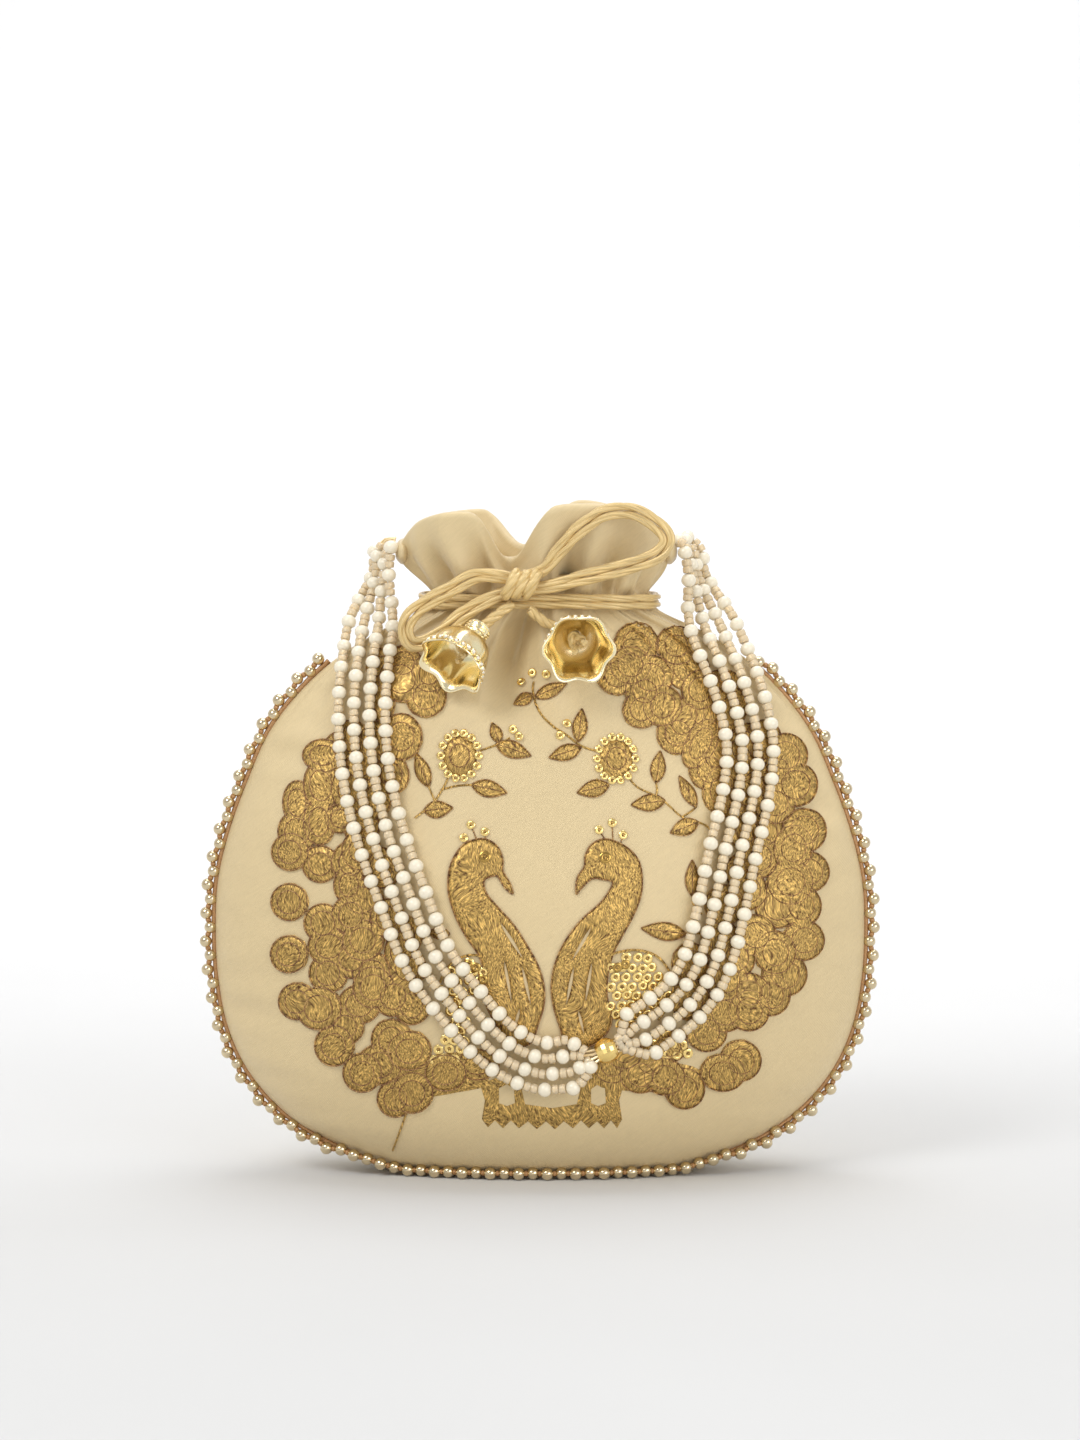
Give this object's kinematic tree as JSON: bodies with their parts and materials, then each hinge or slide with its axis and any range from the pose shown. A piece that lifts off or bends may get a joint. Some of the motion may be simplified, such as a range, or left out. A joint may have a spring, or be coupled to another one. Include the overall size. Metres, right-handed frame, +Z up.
{
  "type": "potli bag",
  "caption": "Champagne satin potli drawstring pouch with a gathered ruffle, bow and flower bells, a beaded border along its seam and a handle of pearl and glass bead strands.",
  "frame": {"origin": "the middle of the flat sole that the bag stands on", "axes": "+X to the right seen from the front, +Y towards the back through the bag's thickness, +Z up"},
  "size_m": [0.2277, 0.0885, 0.2237],
  "materials": {
    "champagne_satin": "satin weave with antique gold embroidery",
    "gold_satin_cord": "braided satin cord",
    "pale_gold_beads": "mirror-bright pale gold plating",
    "polished_gold": "polished gold plating",
    "pearl_strand": "ivory pearls and clear gold-lined seed beads"
  },
  "bodies": {
    "bag": {"bag_body": "champagne_satin", "bag_ruffle": "champagne_satin", "border_beads": "pale_gold_beads", "neck_cord": "gold_satin_cord", "bow_knot": "gold_satin_cord", "left_loop": "gold_satin_cord", "right_loop": "gold_satin_cord"},
    "handle": {"handle_strand_1": "pearl_strand", "handle_strand_2": "pearl_strand", "handle_strand_3": "pearl_strand", "handle_strand_4": "pearl_strand", "slider_bead": "polished_gold"},
    "left_cord_end": {"left_tail": "gold_satin_cord"},
    "right_cord_end": {"right_tail": "gold_satin_cord"},
    "left_flower": {"left_bell": "polished_gold"},
    "right_flower": {"right_bell": "polished_gold"}
  },
  "joints": [
    {"name": "handle_swing", "type": "hinge", "parent": "bag", "child": "handle", "pos_m": [0, 0.0048, 0.207], "axis": [-1, 0, 0], "range_deg": [0, 180]},
    {"name": "left_end_lift", "type": "hinge", "parent": "bag", "child": "left_cord_end", "pos_m": [-0.009, -0.0199, 0.1905], "axis": [-1, 0, 0], "range_deg": [0, 60]},
    {"name": "right_end_lift", "type": "hinge", "parent": "bag", "child": "right_cord_end", "pos_m": [-0.0035, -0.01946, 0.1885], "axis": [-1, 0, 0], "range_deg": [0, 60]},
    {"name": "left_bell_spin", "type": "hinge", "parent": "left_cord_end", "child": "left_flower", "pos_m": [-0.02, -0.02024, 0.1825], "axis": [-0.4584, -0.6576, -0.5979], "continuous": true},
    {"name": "right_bell_spin", "type": "hinge", "parent": "right_cord_end", "child": "right_flower", "pos_m": [0.011, -0.01963, 0.1815], "axis": [0.0802, -0.9621, -0.2606], "continuous": true}
  ]
}
